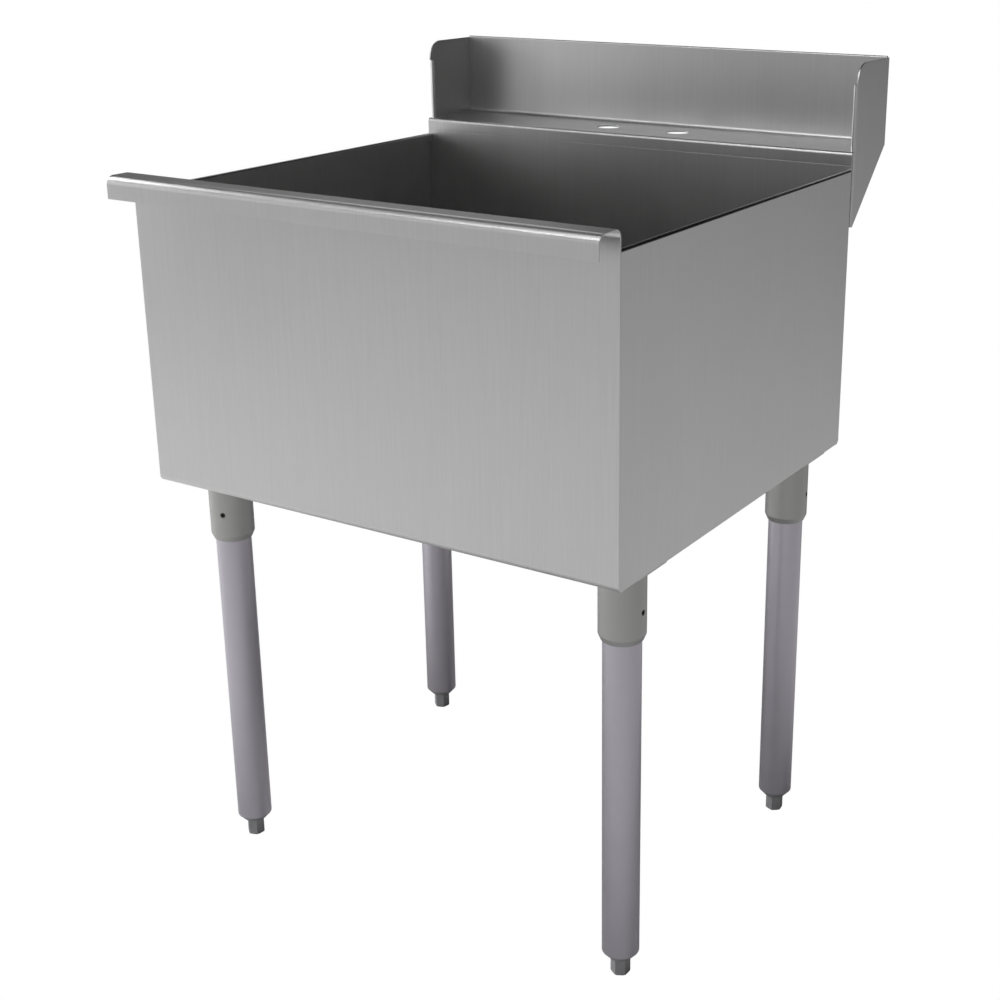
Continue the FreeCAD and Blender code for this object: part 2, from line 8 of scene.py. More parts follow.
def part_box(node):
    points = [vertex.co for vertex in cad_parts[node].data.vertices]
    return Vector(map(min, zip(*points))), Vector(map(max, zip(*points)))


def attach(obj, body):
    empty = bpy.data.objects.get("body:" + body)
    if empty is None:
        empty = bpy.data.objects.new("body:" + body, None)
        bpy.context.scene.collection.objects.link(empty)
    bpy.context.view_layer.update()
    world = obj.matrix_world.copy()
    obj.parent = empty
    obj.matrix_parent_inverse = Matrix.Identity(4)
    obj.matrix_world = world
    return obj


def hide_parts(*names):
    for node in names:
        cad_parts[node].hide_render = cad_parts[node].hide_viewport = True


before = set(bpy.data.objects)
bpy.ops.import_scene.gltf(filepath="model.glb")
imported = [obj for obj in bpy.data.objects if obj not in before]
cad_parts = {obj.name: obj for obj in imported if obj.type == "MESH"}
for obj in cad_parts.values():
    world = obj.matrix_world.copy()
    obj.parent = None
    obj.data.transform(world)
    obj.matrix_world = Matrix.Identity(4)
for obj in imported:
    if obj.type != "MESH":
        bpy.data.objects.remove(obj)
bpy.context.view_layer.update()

scene = bpy.context.scene

# ---------------------------------------------------------------- the tub's wrap
# Front rim, front wall, floor and back wall of the tub: one length of brushed stainless sheet,
# 1.5 mm thick, folded on a press brake.  The dish round the drain is pressed into it, and its
# cut ends are ground flush with the side walls that are welded in between.

SHEET = 0.0015
RIM_REACH = 0.0369
RIM_SKIRT = 0.0246
RIM_BEND = 0.008
SEAM_DROP = 0.016
BOTTOM_BEND = 0.0065
DISH_RADIUS = 0.066
DISH_FLAT_RADIUS = 0.059
DISH_DEPTH = 0.003
DISH_EASE = 0.004
DRAIN_HOLE_RADIUS = 0.0447
DISH_PATCH = 0.08
PATCH_STEPS = 24
OUTER_COLUMN = 0.6
TOUCH = 0.0001
SAME = 1e-6
STEEL_GREY = (0.5, 0.5, 0.5)
STEEL_GLOSS = 0.34
GRAIN_LINE = 0.0007
GRAIN_LENGTH = 0.09
GRAIN_TINT = 0.1
GRAIN_GLOSS = 0.04
GRAIN_RELIEF = (0.12, 0.00006)
HAZE_SCALE = 5.0


def join_nodes(tree, source, target):
    tree.links.new(source, target)


def plain_finish(name, metallic):
    """A new finish with its node tree, its shader and the piece's own coordinates."""
    finish = bpy.data.materials.new(name)
    finish.use_nodes = True
    tree = finish.node_tree
    shader = tree.nodes["Principled BSDF"]
    shader.inputs["Metallic"].default_value = metallic
    place = tree.nodes.new("ShaderNodeTexCoord").outputs["Object"]
    return finish, tree, shader, place


def cloud_pattern(tree, place, scale, detail):
    """Soft clouds, about that many to the metre."""
    clouds = tree.nodes.new("ShaderNodeTexNoise")
    clouds.inputs["Scale"].default_value = scale
    clouds.inputs["Detail"].default_value = detail
    join_nodes(tree, place, clouds.inputs["Vector"])
    return clouds.outputs["Fac"]


def spread_over(tree, source, before, after, smooth=False):
    """The source's values from one span, spread over another span."""
    spread = tree.nodes.new("ShaderNodeMapRange")
    spread.interpolation_type = "SMOOTHSTEP" if smooth else "LINEAR"
    for socket, value in zip(("From Min", "From Max", "To Min", "To Max"), (*before, *after)):
        spread.inputs[socket].default_value = value
    join_nodes(tree, source, spread.inputs["Value"])
    return spread.outputs["Result"]


def lay_grey(tree, shader, pattern, grey, tint):
    """The finish's grey, a little lighter and darker by the pattern."""
    colour = tree.nodes.new("ShaderNodeVectorMath")
    colour.operation = "SCALE"
    colour.inputs[0].default_value = grey
    join_nodes(tree, spread_over(tree, pattern, (0, 1), (1 - tint, 1 + tint)), colour.inputs["Scale"])
    join_nodes(tree, colour.outputs["Vector"], shader.inputs["Base Color"])


def lay_gloss(tree, shader, pattern, span, gloss, change):
    """The finish's roughness, a little more and less by the pattern, which has that span."""
    rough = spread_over(tree, pattern, span, (gloss - change, gloss + change))
    join_nodes(tree, rough, shader.inputs["Roughness"])


def emboss(tree, shader, pattern, strength, depth):
    """Raises the pattern from the surface by that depth."""
    relief = tree.nodes.new("ShaderNodeBump")
    relief.inputs["Strength"].default_value = strength
    relief.inputs["Distance"].default_value = depth
    join_nodes(tree, pattern, relief.inputs["Height"])
    join_nodes(tree, relief.outputs["Normal"], shader.inputs["Normal"])


def brushed_steel(name, across, grey=STEEL_GREY, gloss=STEEL_GLOSS):
    """Steel with a fine grain, whose lines lie side by side along the axis that across names."""
    metal, tree, shader, place = plain_finish(name, 1.0)
    stretch = tree.nodes.new("ShaderNodeMapping")
    lines = [1 / GRAIN_LENGTH] * 3
    lines["xyz".index(across)] = 1 / GRAIN_LINE
    stretch.inputs["Scale"].default_value = lines
    join_nodes(tree, place, stretch.inputs["Vector"])
    grain = cloud_pattern(tree, stretch.outputs["Vector"], scale=1.0, detail=3.0)
    haze = cloud_pattern(tree, place, HAZE_SCALE, detail=2.0)
    lay_grey(tree, shader, grain, grey, GRAIN_TINT)
    worn = tree.nodes.new("ShaderNodeMath")
    worn.operation = "ADD"
    join_nodes(tree, grain, worn.inputs[0])
    join_nodes(tree, haze, worn.inputs[1])
    lay_gloss(tree, shader, worn.outputs["Value"], (0.5, 1.5), gloss, GRAIN_GLOSS)
    emboss(tree, shader, grain, *GRAIN_RELIEF)
    return metal


def round_corners(corners, closed=False, steps=12):
    """The points of a line through (across, up) corners; a third number is a corner's radius."""
    points = []
    for index, corner in enumerate(corners):
        spot = Vector(corner[:2])
        if len(corner) == 2:
            points.append(spot)
            continue
        back = (Vector(corners[index - 1][:2]) - spot).normalized()
        ahead = (Vector(corners[(index + 1) % len(corners)][:2]) - spot).normalized()
        half_angle = back.angle(ahead) / 2
        centre = spot + (back + ahead).normalized() * (corner[2] / math.sin(half_angle))
        arm = spot + back * (corner[2] / math.tan(half_angle)) - centre
        turn = math.pi - 2 * half_angle
        side = 1 if back.x * ahead.y - back.y * ahead.x < 0 else -1
        count = max(3, math.ceil(steps * turn / (math.pi / 2)))
        for step in range(count + 1):
            points.append(centre + Matrix.Rotation(side * turn * step / count, 2) @ arm)
    if closed:
        points.append(points[0].copy())
    return points


def beside(line, distance):
    """The line that runs beside another one, that far to its left."""
    moved = []
    for index, spot in enumerate(line):
        before = line[max(index - 1, 0)]
        after = line[min(index + 1, len(line) - 1)]
        ways = [end - start for start, end in ((before, spot), (spot, after)) if end != start]
        lefts = [Vector((-way.y, way.x)).normalized() for way in ways]
        middle = sum(lefts, Vector((0, 0))).normalized()
        moved.append(spot + middle * (distance / middle.dot(lefts[0])))
    return moved


def lay_sheet(stations, line, place, left_out=(), onto=None):
    """One face of a sheet that follows a line from station to station, its other face's points and
    its grid of points.

    left_out holds blocks of the grid, as first and last station and first and last point.
    """
    surface, behind = onto or (bmesh.new(), {})
    faces = beside(line, SHEET / 2)
    backs = beside(line, -SHEET / 2)
    grid = []
    for station in stations:
        row = []
        for spot, back in zip(faces, backs):
            vertex = surface.verts.new(place(station, *spot))
            behind[vertex] = Vector(place(station, *back))
            row.append(vertex)
        grid.append(row)
    for i in range(len(stations) - 1):
        for j in range(len(line) - 1):
            if any(a <= i < b and c <= j < d for a, b, c, d in left_out):
                continue
            surface.faces.new((grid[i][j], grid[i + 1][j], grid[i + 1][j + 1], grid[i][j + 1]))
    return surface, behind, grid


def press_round_hole(surface, behind, grid, block, centre, rings):
    """Fills a block of a flat grid with rings about a hole: (radius, drop, drop of the other face)."""
    first, last, low, high = block
    edge = [grid[i][low] for i in range(first, last)]
    edge += [grid[last][j] for j in range(low, high)]
    edge += [grid[i][high] for i in range(last, first, -1)]
    edge += [grid[first][j] for j in range(high, low, -1)]
    outer = edge
    for radius, drop, drop_behind in rings:
        inner = []
        for vertex in edge:
            arm = vertex.co - centre
            arm.z = 0
            arm = arm.normalized() * radius
            spot = Vector((centre.x + arm.x, centre.y + arm.y, vertex.co.z - drop))
            ring_vertex = surface.verts.new(spot)
            behind[ring_vertex] = Vector((spot.x, spot.y, behind[vertex].z - drop_behind))
            inner.append(ring_vertex)
        for k in range(len(edge)):
            after = (k + 1) % len(edge)
            surface.faces.new((outer[k], outer[after], inner[after], inner[k]))
        outer = inner


def thicken(surface, behind):
    """Gives a sheet its other face and its cut edges."""
    bmesh.ops.remove_doubles(surface, verts=surface.verts, dist=SAME)
    faces = list(surface.faces)
    cuts = [edge for edge in surface.edges if edge.is_boundary]
    backs = {}
    for vertex, spot in behind.items():
        if vertex.is_valid and vertex.link_faces:
            backs[vertex] = surface.verts.new(spot)
    for face in faces:
        surface.faces.new([backs[vertex] for vertex in reversed(face.verts)])
    for edge in cuts:
        start, end = edge.verts
        surface.faces.new((start, end, backs[end], backs[start]))
    loose = [vertex for vertex in surface.verts if not vertex.link_faces]
    bmesh.ops.delete(surface, geom=loose, context="VERTS")
    bmesh.ops.recalc_face_normals(surface, faces=surface.faces)


def make_piece(name, solid, finish, ease=0.0003, share=lambda middle: 1.0):
    """The piece of a finished solid: its sharp edges are eased, each by its share of the ease."""
    SHARP = math.radians(32)
    weights = solid.edges.layers.float.new("bevel_weight_edge")
    for edge in solid.edges:
        if len(edge.link_faces) == 2 and edge.calc_face_angle() > SHARP:
            edge[weights] = share((edge.verts[0].co + edge.verts[1].co) / 2)
            edge.smooth = edge[weights] > 0
    for face in solid.faces:
        face.smooth = True
    mesh = bpy.data.meshes.new(name)
    solid.to_mesh(mesh)
    solid.free()
    mesh.materials.append(finish)
    piece = bpy.data.objects.new(name, mesh)
    scene.collection.objects.link(piece)
    bevel = piece.modifiers.new("eased edges", "BEVEL")
    bevel.limit_method = "WEIGHT"
    bevel.width = ease
    bevel.segments = 3
    flats = piece.modifiers.new("flat faces", "WEIGHTED_NORMAL")
    flats.keep_sharp = True
    flats.weight = 100
    return piece


def put_on(piece, body, node, place=None):
    """Sets a piece in its place, on its body, for the plain node that it dresses."""
    if place:
        piece.matrix_world = place
    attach(piece, body)
    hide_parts(node)


def steps_between(start, end, count):
    return [start + (end - start) * step / count for step in range(count + 1)]


wrap_low, wrap_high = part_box("tub_wrap")
drain_low, drain_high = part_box("drain_body")
drain_axis = (drain_low + drain_high) / 2
front_face = wrap_low.y + RIM_REACH
back_face = wrap_high.y
half_width = wrap_high.x
side_low, side_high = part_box("side_panel_left")
underside = side_low.z - SHEET
seam_height = wrap_high.z - SEAM_DROP
half = SHEET / 2

floor_rows = steps_between(drain_axis.y - DISH_PATCH, drain_axis.y + DISH_PATCH, PATCH_STEPS)
wrap_line = round_corners([
    (wrap_low.y + half, wrap_high.z - RIM_SKIRT),
    (wrap_low.y + half, wrap_high.z - half, RIM_BEND + half),
    (front_face + half, wrap_high.z - half, RIM_BEND + half),
    (front_face + half, underside + half, BOTTOM_BEND + half),
    *[(row, underside + half) for row in floor_rows],
    (back_face - half, underside + half, BOTTOM_BEND + half),
    (back_face - half, seam_height),
])
drain_row = next(j for j, spot in enumerate(wrap_line) if abs(spot.x - floor_rows[0]) < SAME)
patch_columns = steps_between(-DISH_PATCH, DISH_PATCH, PATCH_STEPS)
outer_columns = [half_width * OUTER_COLUMN, half_width]
wrap_columns = [-half_width, -half_width * OUTER_COLUMN, *patch_columns, *outer_columns]
drain_block = (2, 2 + PATCH_STEPS, drain_row, drain_row + PATCH_STEPS)
wrap, wrap_behind, wrap_grid = lay_sheet(
    wrap_columns, wrap_line, lambda x, y, z: (x, y, z), [drain_block])

dish_line = round_corners([
    (DISH_PATCH, 0.0),
    (DISH_RADIUS, 0.0, DISH_EASE),
    (DISH_FLAT_RADIUS, -DISH_DEPTH, DISH_EASE),
    (DRAIN_HOLE_RADIUS, -DISH_DEPTH),
])
dish_rings = [(spot.x, -spot.y, -spot.y) for spot in dish_line[1:]]
press_round_hole(wrap, wrap_behind, wrap_grid, drain_block, drain_axis, dish_rings)
thicken(wrap, wrap_behind)


def wrap_edge_share(middle):
    """The outer corners beside the side walls are ground round, and the inner ones lie in the weld."""
    GROUND, DEBURRED = 1.0, 0.2
    beside_wall = abs(middle.x) > half_width - TOUCH and middle.y > front_face - TOUCH
    if not beside_wall or middle.z > side_high.z - TOUCH:
        return DEBURRED
    inside = front_face + TOUCH < middle.y < back_face - TOUCH and middle.z > underside + TOUCH
    return 0.0 if inside else GROUND


steel_down = brushed_steel("brushed steel, grain across x", "x")
tub_skin = make_piece("tub_skin", wrap, steel_down, ease=0.0012, share=wrap_edge_share)
put_on(tub_skin, "sink", "tub_wrap")

# ---------------------------------------------------------------- the side walls
# A flat plate of the same sheet closes each side.  Its lower corners are round, so that it sits in
# the wrap's bends, and its top edge is rolled inwards to an open hem that is safe to lean on.

HEM_GAP = 0.003
HEM_FLAT = 0.0002
HEM_LEG = 0.01
HEM_BEND = (HEM_GAP - HEM_FLAT) / 2 + half
ABOVE_CORNERS = 4 * BOTTOM_BEND
SIDE_SIGNS = {"left": -1, "right": 1}

steel_along = brushed_steel("brushed steel, grain across y", "y")
for side, sign in SIDE_SIGNS.items():
    wall_low, wall_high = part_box(f"side_panel_{side}")

    def corner_rise(along):
        """How far the round lower corner lifts the wall's edge at that place along the wall."""
        inwards = min(along - wall_low.y, wall_high.y - along)
        if inwards >= BOTTOM_BEND:
            return 0.0
        return BOTTOM_BEND - math.sqrt(max(0.0, BOTTOM_BEND ** 2 - (BOTTOM_BEND - inwards) ** 2))

    def on_side_wall(along, across, up):
        rise = corner_rise(along) if up < wall_low.z + SAME else 0.0
        return (sign * across, along, up + rise)

    wall_line = round_corners([
        (half_width - half, wall_low.z),
        (half_width - half, wall_low.z + ABOVE_CORNERS),
        (half_width - half, wall_high.z - half, HEM_BEND),
        (half_width - HEM_GAP - SHEET - half, wall_high.z - half, HEM_BEND),
        (half_width - HEM_GAP - SHEET - half, wall_high.z - HEM_LEG),
    ])
    corner_places = [BOTTOM_BEND * (1 - math.cos(math.radians(turn))) for turn in range(0, 91, 10)]
    wall_places = [wall_low.y + place for place in corner_places]
    wall_places += [wall_high.y - place for place in reversed(corner_places)]
    wall, wall_behind = lay_sheet(wall_places, wall_line, on_side_wall)[:2]
    thicken(wall, wall_behind)

    def wall_edge_share(middle):
        """The edges that meet the wrap are welded, and only the hem's ends and lip are free."""
        welded = middle.z < wall_high.z - 2 * HEM_LEG or abs(middle.x) > half_width - TOUCH
        return 0.0 if welded else 1.0

    side_wall = make_piece(f"side_wall_{side}", wall, steel_along, share=wall_edge_share)
    put_on(side_wall, "sink", f"side_panel_{side}")

# ---------------------------------------------------------------- the ledge and the splash
# One sheet again: its front edge is welded on top of the back wall, it runs back as the faucet
# ledge and turns up as the splash, whose top edge is hemmed to the rear.  Two faucet holes are
# punched in it, and its ends are notched round the hems of the splash's end plates.

LEDGE_BEND = 0.0025
SPLASH_BEND = 0.005
SPLASH_HEM_GAP = 0.001
SPLASH_HEM_BEND = (SPLASH_HEM_GAP - HEM_FLAT) / 2 + half
FAUCET_HOLE_RADIUS = 0.0143
FAUCET_SPACING = 0.1016
FAUCET_SETBACK = 0.049
HOLE_PATCH = 0.02
HOLE_STEPS = 16
HOLE_MARGIN = 1.15
END_GAP = 0.0055
NOTCH_GAP = 0.0003

splash_low, splash_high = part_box("splash_sheet")
splash_face = splash_high.y - SPLASH_HEM_GAP - 2 * SHEET
end_front = back_face + END_GAP
hole_row = splash_face - FAUCET_SETBACK
hole_rows = steps_between(hole_row - HOLE_PATCH, hole_row + HOLE_PATCH, HOLE_STEPS)
notch_rows = (end_front - NOTCH_GAP, end_front + HEM_LEG + NOTCH_GAP)
ledge_up = wrap_high.z - half
splash_line = round_corners([
    (back_face - half, splash_low.z),
    (back_face - half, ledge_up, LEDGE_BEND + half),
    *[(row, ledge_up) for row in (*notch_rows, *hole_rows)],
    (splash_face + half, ledge_up, SPLASH_BEND + half),
    (splash_face + half, splash_high.z - half, SPLASH_HEM_BEND),
    (splash_high.y - half, splash_high.z - half, SPLASH_HEM_BEND),
    (splash_high.y - half, splash_high.z - HEM_LEG),
])


def line_step(row):
    """The place in the splash's line of the ledge's point at that row."""
    spot = Vector((row, ledge_up))
    return min(range(len(splash_line)), key=lambda j: (splash_line[j] - spot).length)


notch_columns = (half_width, half_width - SHEET, half_width - HEM_GAP - 2 * SHEET - NOTCH_GAP)
hole_columns = []
for sign in (-1, 1):
    middle = sign * FAUCET_SPACING / 2
    hole_columns += steps_between(middle - HOLE_PATCH, middle + HOLE_PATCH, HOLE_STEPS)
left_columns = [-column for column in notch_columns]
splash_columns = [*left_columns, *hole_columns, *reversed(notch_columns)]
notch_width = len(notch_columns) - 1
first_hole = len(notch_columns)
last_column = len(splash_columns) - 1
notch_start, notch_end = line_step(notch_rows[0]), line_step(notch_rows[1])
hole_start = line_step(hole_rows[0])
hole_blocks = []
for first in (first_hole, first_hole + HOLE_STEPS + 1):
    hole_blocks.append((first, first + HOLE_STEPS, hole_start, hole_start + HOLE_STEPS))
notch_blocks = [
    (0, notch_width, notch_start, notch_end),
    (last_column - notch_width, last_column, notch_start, notch_end),
    (0, 1, notch_end, len(splash_line)),
    (last_column - 1, last_column, notch_end, len(splash_line)),
]
splash, splash_behind, splash_grid = lay_sheet(
    splash_columns, splash_line, lambda x, y, z: (x, y, z), [*hole_blocks, *notch_blocks])
for sign, block in zip((-1, 1), hole_blocks):
    hole_axis = Vector((sign * FAUCET_SPACING / 2, hole_row, 0))
    punched = [(FAUCET_HOLE_RADIUS * HOLE_MARGIN, 0.0, 0.0), (FAUCET_HOLE_RADIUS, 0.0, 0.0)]
    press_round_hole(splash, splash_behind, splash_grid, block, hole_axis, punched)
thicken(splash, splash_behind)
ledge_and_splash = make_piece("ledge_and_splash", splash, steel_down)
put_on(ledge_and_splash, "sink", "splash_sheet")

# ---------------------------------------------------------------- the splash's end plates
# An upright plate closes the splash at each side.  Its front edge is hemmed inwards like the side
# walls, its upper front corner is round, and its foot slants down behind the tub.

END_CORNER = 0.022
END_HEM_STOP = 0.024
END_DROP = 0.089
END_REAR_DROP = 0.003

for side, sign in SIDE_SIGNS.items():
    plate_low, plate_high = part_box(f"splash_end_{side}")
    hem_start = end_front + HEM_GAP / 2 + SHEET
    hem_top = plate_high.z - END_HEM_STOP
    foot_slope = (END_DROP - END_REAR_DROP) / (plate_high.y - hem_start)

    def on_end_plate(along, across, up):
        """up runs from 0 at the plate's foot through 1 at the top of its hem to 2 at its top."""
        foot = plate_low.z + max(0.0, along - hem_start) * foot_slope
        inwards = along - plate_low.y
        top = plate_high.z
        if inwards < END_CORNER:
            top += math.sqrt(END_CORNER ** 2 - (END_CORNER - inwards) ** 2) - END_CORNER
        height = foot + (hem_top - foot) * up if up <= 1 else hem_top + (top - hem_top) * (up - 1)
        return (sign * across, along, height)

    corner_places = [END_CORNER * (1 - math.cos(math.radians(turn))) for turn in range(0, 91, 6)]
    plate_places = [plate_low.y + place for place in corner_places]
    plate_places = sorted({*plate_places, hem_start, plate_high.y})
    plate_line = [Vector((half_width - half, up)) for up in (0, 1, 2)]
    before_hem = (0, plate_places.index(hem_start), 0, 1)
    plate, plate_behind = lay_sheet(plate_places, plate_line, on_end_plate, [before_hem])[:2]

    def on_end_hem(up, across, along):
        return (sign * across, along, up)

    hem_line = round_corners([
        (half_width - HEM_GAP - SHEET - half, end_front + HEM_LEG),
        (half_width - HEM_GAP - SHEET - half, end_front + half, HEM_BEND),
        (half_width - half, end_front + half, HEM_BEND),
        (half_width - half, hem_start),
    ])
    lay_sheet((plate_low.z, hem_top), hem_line, on_end_hem, onto=(plate, plate_behind))
    thicken(plate, plate_behind)
    end_plate = make_piece(f"end_plate_{side}", plate, steel_along, ease=0.0004)
    put_on(end_plate, "sink", f"splash_end_{side}")

# ---------------------------------------------------------------- the plates under the floor
# A square plate, cut from thicker sheet with round corners, is welded under each corner of the
# floor and spreads the leg's load.

PLATE_CORNER = 0.008


def skin_rings(rings, closed=False):
    """A solid through rings of points, with its ends capped, or joined to each other if closed."""
    solid = bmesh.new()
    loops = [[solid.verts.new(spot) for spot in ring] for ring in rings]
    followers = loops[1:] + loops[:1] if closed else loops[1:]
    for lower, upper in zip(loops, followers):
        count = max(len(lower), len(upper))
        for k in range(count):
            after = k + 1
            corners = (lower[k % len(lower)], lower[after % len(lower)],
                       upper[after % len(upper)], upper[k % len(upper)])
            solid.faces.new(list(dict.fromkeys(corners)))
    for end in (loops[0], loops[-1]):
        if not closed and len(end) > 2:
            solid.faces.new(end)
    bmesh.ops.recalc_face_normals(solid, faces=solid.faces)
    return solid


CORNERS = ("front_left", "front_right", "rear_left", "rear_right")
steel_plate = brushed_steel("rolled steel plate", "x", grey=(0.42, 0.42, 0.42), gloss=0.4)
for corner in CORNERS:
    pad_low, pad_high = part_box(f"socket_plate_{corner}")
    pad_outline = round_corners([
        (pad_high.x, pad_high.y, PLATE_CORNER),
        (pad_low.x, pad_high.y, PLATE_CORNER),
        (pad_low.x, pad_low.y, PLATE_CORNER),
        (pad_high.x, pad_low.y, PLATE_CORNER),
    ], steps=8)
    pad_rings = [[(spot.x, spot.y, height) for spot in pad_outline]
                 for height in (pad_low.z, pad_high.z)]
    pad_piece = make_piece(f"floor_pad_{corner}", skin_rings(pad_rings), steel_plate, ease=0.0005)
    put_on(pad_piece, "sink", f"socket_plate_{corner}")

# ---------------------------------------------------------------- the leg sockets
# Each leg stands in a thick turned cup that is welded under its plate.  The cup is closed at the
# top, tapers at its mouth, and a threaded hole in its side takes the set screw that holds the leg.

ROUND_STEPS = 96
TUBE_RADIUS = 0.02065
TUBE_WALL = 0.0015
SOCKET_FIT = 0.00015
SOCKET_WALL = 0.0045
SOCKET_CAP = 0.004
SOCKET_TAPER = 0.007
SOCKET_LIP = 0.0014
SOCKET_SHOULDER = 0.004
SOCKET_LIP_ROUND = 0.0006
SOCKET_BORE_ROUND = 0.0004
SCREW_RISE = 0.0347
SCREW_RADIUS = 0.003
THREAD_FIT = 0.00005
SCREW_TURNS = {"front_left": 20, "front_right": 88, "rear_left": 200, "rear_right": 98}
DRILL_LENGTH = 0.04
DRILL_STEPS = 32
BEAD = 0.003
BEAD_ROOT = 0.0005
BEAD_WAIST = 0.45
BEAD_RIPPLE = 0.00012
CLOUD_GLOSS = 0.06
CLOUD_RELIEF = (0.15, 0.0001)


def round_ring(radius, height, steps=ROUND_STEPS):
    """A level ring of points about the upright axis; a ring without radius is one point."""
    if radius < SAME:
        return [Vector((0, 0, height))]
    turns = [2 * math.pi * step / steps for step in range(steps)]
    return [Vector((radius * math.cos(turn), radius * math.sin(turn), height)) for turn in turns]


def turned(outline, steps=ROUND_STEPS):
    """A solid turned about the upright axis: its outline is (distance from the axis, height)."""
    rings = [round_ring(spot.x, spot.y, steps) for spot in outline]
    return skin_rings(rings, closed=outline[0].x > SAME)


def cut_away(solid, tool):
    """The solid without the part that the tool takes away; both are used up."""
    things = []
    for shape in (solid, tool):
        mesh = bpy.data.meshes.new("cutting")
        shape.to_mesh(mesh)
        shape.free()
        things.append(bpy.data.objects.new("cutting", mesh))
        scene.collection.objects.link(things[-1])
    cut = things[0].modifiers.new("cut", "BOOLEAN")
    cut.operation = "DIFFERENCE"
    cut.solver = "EXACT"
    cut.object = things[1]
    bpy.context.view_layer.update()
    rest = bmesh.new()
    rest.from_object(things[0], bpy.context.evaluated_depsgraph_get())
    for thing in things:
        bpy.data.objects.remove(thing)
    return rest


def clouded(name, grey, gloss, cloud=0.05, spread=40.0, metallic=1.0):
    """A finish without a grain, with faint clouds in its tone and its gloss."""
    finish, tree, shader, place = plain_finish(name, metallic)
    clouds = cloud_pattern(tree, place, spread, detail=4.0)
    lay_grey(tree, shader, clouds, grey, cloud)
    lay_gloss(tree, shader, clouds, (0, 1), gloss, CLOUD_GLOSS)
    emboss(tree, shader, clouds, *CLOUD_RELIEF)
    return finish


def leg_place(corner):
    """The move from the middle of the room's floor to the foot of a leg's axis."""
    tube_low, tube_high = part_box(f"leg_tube_{corner}")
    middle = (tube_low + tube_high) / 2
    return Matrix.Translation((middle.x, middle.y, 0))


def screw_place(corner):
    """A leg's place, turned the way its screw faces: 0 is the front, and it grows to the right."""
    return leg_place(corner) @ Matrix.Rotation(math.radians(SCREW_TURNS[corner]), 4, "Z")


socket_low, socket_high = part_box("leg_socket_front_left")
bore_radius = TUBE_RADIUS + SOCKET_FIT
socket_face = bore_radius + SOCKET_WALL
socket_outline = round_corners([
    (0.0, socket_high.z),
    (socket_face, socket_high.z),
    (socket_face, socket_low.z + SOCKET_TAPER, SOCKET_SHOULDER),
    (bore_radius + SOCKET_LIP, socket_low.z, SOCKET_LIP_ROUND),
    (bore_radius, socket_low.z, SOCKET_BORE_ROUND),
    (bore_radius, socket_high.z - SOCKET_CAP),
    (0.0, socket_high.z - SOCKET_CAP),
], steps=6)
screw_axis = Matrix.Translation((0, 0, socket_low.z + SCREW_RISE)) @ Matrix.Rotation(math.pi / 2, 4, "X")
zinc = clouded("dull zinc", (0.36, 0.36, 0.355), 0.45)
bead_steel = clouded("weld bead", (0.3, 0.3, 0.3), 0.5, cloud=0.15, spread=300.0)
bead_waist = (BEAD * BEAD_WAIST, BEAD * (1 - BEAD_WAIST))
bead_spots = [(-BEAD_ROOT, 0.0), (BEAD, 0.0), bead_waist, (-BEAD_ROOT, BEAD)]
for corner in CORNERS:
    drill = turned([Vector((0.0, 0.0)), Vector((SCREW_RADIUS + THREAD_FIT, 0.0)),
                    Vector((SCREW_RADIUS + THREAD_FIT, DRILL_LENGTH)), Vector((0.0, DRILL_LENGTH))],
                   steps=DRILL_STEPS)
    drill.transform(screw_axis)
    leg_cup = make_piece(f"leg_cup_{corner}", cut_away(turned(socket_outline), drill), zinc, ease=0.0004)
    put_on(leg_cup, "sink", f"leg_socket_{corner}", screw_place(corner))

    rings = []
    for inwards, down in bead_spots:
        ring = []
        for step in range(ROUND_STEPS):
            turn = 2 * math.pi * step / ROUND_STEPS
            ripple = BEAD_RIPPLE * math.cos(math.pi * step) if down else 0.0
            out = socket_face + inwards + ripple
            ring.append((out * math.cos(turn), out * math.sin(turn), socket_high.z - down))
        rings.append(ring)
    bead = make_piece(f"weld_bead_{corner}", skin_rings(rings, closed=True), bead_steel)
    bead.matrix_world = leg_place(corner)
    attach(bead, "sink")

# ---------------------------------------------------------------- the set screws
# Four headless screws of blackened steel, one in each socket.  They press on the legs, and their
# hexagonal key holes are just below the face of the socket.

SCREW_SUNK = 0.0006
KEY_FLATS = 0.003
KEY_DEPTH = 0.002
KEY_TIP = 0.0004
SCREW_PITCH = 0.001
SCREW_STEPS = 24
HEX_STEPS = 48
THREAD_DEPTH = 0.6


def hexagon_reach(turn, flats):
    """How far a hexagon reaches at a turn from one of its corners, given the width over its flats."""
    from_flat = (turn % (math.pi / 3)) - math.pi / 6
    return flats / 2 / math.cos(from_flat)


def hexagon_ring(flats, height_at, reach_at=lambda face: face, steps=HEX_STEPS):
    """A ring round a hexagon; both functions are given how far its faces reach at each turn."""
    ring = []
    for step in range(steps):
        turn = 2 * math.pi * step / steps
        face = hexagon_reach(turn, flats)
        reach = reach_at(face)
        ring.append((reach * math.cos(turn), reach * math.sin(turn), height_at(face)))
    return ring


def thread_rings(radius, pitch, low, high, steps=SCREW_STEPS, levels=6):
    """Rings up a threaded bar, with both ends of the thread chamfered."""
    depth = THREAD_DEPTH * pitch
    count = round((high - low) / pitch * levels)
    rings = []
    for height in steps_between(low, high, count):
        ring = []
        for step in range(steps):
            turn = 2 * math.pi * step / steps
            wave = (height / pitch - step / steps) % 1
            groove = depth * (1 - abs(2 * wave - 1))
            chamfer = depth - min(depth, height - low, high - height)
            reach = radius - max(groove, chamfer)
            ring.append(Vector((reach * math.cos(turn), reach * math.sin(turn), height)))
        rings.append(ring)
    return rings


